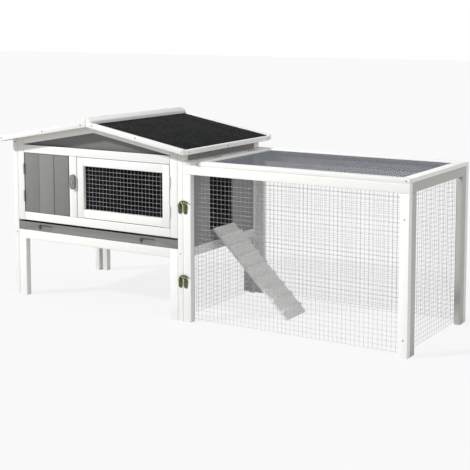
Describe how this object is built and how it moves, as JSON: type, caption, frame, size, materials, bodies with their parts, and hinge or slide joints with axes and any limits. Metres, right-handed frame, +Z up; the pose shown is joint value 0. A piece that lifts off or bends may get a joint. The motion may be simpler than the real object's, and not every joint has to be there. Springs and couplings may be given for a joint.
{
  "type": "rabbit hutch with run",
  "caption": "Raised painted-wood rabbit hutch with a solid door, a net door, a pull-out tray and a hinged felt roof, joined to a wire run with a lifting lid and a ramp.",
  "frame": {"origin": "middle of the overall footprint, on the ground", "axes": "+X from the hutch to the run, +Y from the front to the back, +Z up"},
  "size_m": [2.074, 0.737, 0.8724],
  "materials": {
    "white_paint": "white satin paint on softwood",
    "grey_paint": "grey satin paint on softwood",
    "bare_softwood": "bare",
    "roof_felt": "matte mineral bitumen felt",
    "galvanised_wire": "galvanised",
    "zinc_steel": "bright zinc",
    "white_metal": "painted over",
    "yellow_zinc": "yellow passivated"
  },
  "bodies": {
    "hutch_and_run": {"left_side_frame": "white_paint", "right_side_frame": "white_paint", "front_upper_frame": "white_paint", "front_lower_frame": "white_paint", "back_frame": "white_paint", "front_rafters": "white_paint", "back_rafters": "white_paint", "door_stops": "white_paint", "roof_right_frame": "white_paint", "ridge_board_right": "white_paint", "run_front_frame": "white_paint", "run_back_frame": "white_paint", "run_end_frame": "white_paint", "lid_fixed_rail": "white_paint", "left_side_boards": "grey_paint", "right_side_boards": "grey_paint", "back_boards": "grey_paint", "gable_boards": "grey_paint", "partition": "grey_paint", "tray_bearers": "bare_softwood", "roof_right_deck": "bare_softwood", "roof_right_felt": "roof_felt", "right_side_lower_net": "galvanised_wire", "run_front_net": "galvanised_wire", "run_back_net": "galvanised_wire", "run_end_net": "galvanised_wire", "grey_door_fixed_leaves": "zinc_steel", "lid_fixed_leaves": "zinc_steel", "ramp_fixed_leaves": "zinc_steel", "roof_fixed_leaves": "zinc_steel", "hinge_pins": "zinc_steel", "button_screw": "zinc_steel", "net_door_fixed_leaves": "white_metal", "latch_plates": "yellow_zinc", "latch_keepers": "yellow_zinc"},
    "grey_door": {"grey_door_boards": "grey_paint", "grey_door_battens": "grey_paint", "grey_door_leaves": "zinc_steel"},
    "net_door": {"net_door_frame": "white_paint", "net_door_net": "galvanised_wire", "net_door_leaves": "white_metal"},
    "button": {"turn_button": "grey_paint"},
    "tray": {"tray_front": "grey_paint", "tray_pan": "zinc_steel"},
    "roof_left": {"roof_left_frame": "white_paint", "roof_left_deck": "bare_softwood", "roof_left_felt": "roof_felt", "ridge_board_left": "white_paint", "roof_leaves": "zinc_steel"},
    "run_lid": {"lid_frame": "white_paint", "lid_net": "galvanised_wire", "lid_leaves": "zinc_steel"},
    "ramp": {"ramp_board": "white_paint", "ramp_cleats": "white_paint", "ramp_leaves": "zinc_steel"},
    "lever_front_high": {"latch_lever_front_high": "yellow_zinc"},
    "lever_front_low": {"latch_lever_front_low": "yellow_zinc"},
    "lever_back_high": {"latch_lever_back_high": "yellow_zinc"},
    "lever_back_low": {"latch_lever_back_low": "yellow_zinc"}
  },
  "joints": [
    {"name": "grey_door_hinge", "type": "hinge", "parent": "hutch_and_run", "child": "grey_door", "pos_m": [-0.9295, -0.3201, 0.545], "axis": [0, 0, -1], "range_deg": [0, 170]},
    {"name": "net_door_hinge", "type": "hinge", "parent": "hutch_and_run", "child": "net_door", "pos_m": [-0.0885, -0.3201, 0.545], "axis": [0, 0, 1], "range_deg": [0, 170]},
    {"name": "button_turn", "type": "hinge", "parent": "hutch_and_run", "child": "button", "pos_m": [-0.6285, -0.3233, 0.569], "axis": [0, 1, 0], "range_deg": [0, 90]},
    {"name": "tray_slide", "type": "slide", "parent": "hutch_and_run", "child": "tray", "axis": [0, -1, 0], "range_m": [0, 0.5]},
    {"name": "roof_hinge", "type": "hinge", "parent": "hutch_and_run", "child": "roof_left", "pos_m": [-0.509, 0, 0.8692], "axis": [0, 1, 0], "range_deg": [0, 100]},
    {"name": "lid_hinge", "type": "hinge", "parent": "hutch_and_run", "child": "run_lid", "pos_m": [0.028, 0, 0.7089], "axis": [0, -1, 0], "range_deg": [0, 95]},
    {"name": "ramp_hinge", "type": "hinge", "parent": "hutch_and_run", "child": "ramp", "pos_m": [-0.0228, 0, 0.3696], "axis": [0, -1, 0], "range_deg": [0, 60]},
    {"name": "lever_front_high_pivot", "type": "hinge", "parent": "hutch_and_run", "child": "lever_front_high", "pos_m": [-0.033, -0.32285, 0.508], "axis": [0, -1, 0], "range_deg": [0, 100]},
    {"name": "lever_front_low_pivot", "type": "hinge", "parent": "hutch_and_run", "child": "lever_front_low", "pos_m": [-0.033, -0.32285, 0.182], "axis": [0, -1, 0], "range_deg": [0, 100]},
    {"name": "lever_back_high_pivot", "type": "hinge", "parent": "hutch_and_run", "child": "lever_back_high", "pos_m": [-0.033, 0.32285, 0.508], "axis": [0, -1, 0], "range_deg": [0, 100]},
    {"name": "lever_back_low_pivot", "type": "hinge", "parent": "hutch_and_run", "child": "lever_back_low", "pos_m": [-0.033, 0.32285, 0.182], "axis": [0, -1, 0], "range_deg": [0, 100]}
  ]
}
